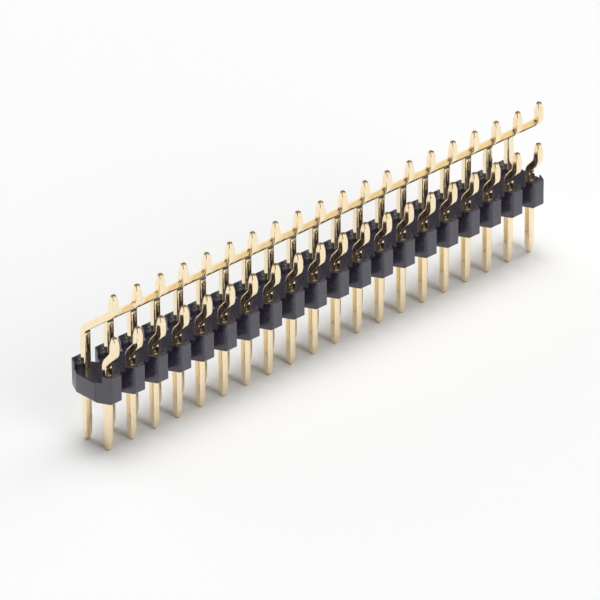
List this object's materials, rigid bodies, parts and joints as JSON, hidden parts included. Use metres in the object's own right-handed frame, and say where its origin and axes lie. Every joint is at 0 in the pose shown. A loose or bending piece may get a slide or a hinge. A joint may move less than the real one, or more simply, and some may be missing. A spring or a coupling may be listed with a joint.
{
  "type": "right-angle pin header strip",
  "caption": "Right-angle surface-mount pin header strip: a notched black insulator holding a front and a back row of square gold-plated pins with straight mating ends and bent solder feet.",
  "frame": {"origin": "centre of the pin grid along and across the strip, at the height of the mating tips it stands on", "axes": "+X along the strip, +Z from the mating tips towards the solder feet, -Y towards the board that the solder feet lie on"},
  "size_m": [0.0508, 0.0051, 0.0147],
  "materials": {
    "insulator": "satin moulded black",
    "plated_pin": "bright gold plating"
  },
  "bodies": {
    "root": {"housing": "insulator", "short_pin_01": "plated_pin", "short_pin_02": "plated_pin", "short_pin_03": "plated_pin", "short_pin_04": "plated_pin", "short_pin_05": "plated_pin", "short_pin_06": "plated_pin", "short_pin_07": "plated_pin", "short_pin_08": "plated_pin", "short_pin_09": "plated_pin", "short_pin_10": "plated_pin", "short_pin_11": "plated_pin", "short_pin_12": "plated_pin", "short_pin_13": "plated_pin", "short_pin_14": "plated_pin", "short_pin_15": "plated_pin", "short_pin_16": "plated_pin", "short_pin_17": "plated_pin", "short_pin_18": "plated_pin", "short_pin_19": "plated_pin", "short_pin_20": "plated_pin", "long_pin_01": "plated_pin", "long_pin_02": "plated_pin", "long_pin_03": "plated_pin", "long_pin_04": "plated_pin", "long_pin_05": "plated_pin", "long_pin_06": "plated_pin", "long_pin_07": "plated_pin", "long_pin_08": "plated_pin", "long_pin_09": "plated_pin", "long_pin_10": "plated_pin", "long_pin_11": "plated_pin", "long_pin_12": "plated_pin", "long_pin_13": "plated_pin", "long_pin_14": "plated_pin", "long_pin_15": "plated_pin", "long_pin_16": "plated_pin", "long_pin_17": "plated_pin", "long_pin_18": "plated_pin", "long_pin_19": "plated_pin", "long_pin_20": "plated_pin"}
  },
  "joints": []
}
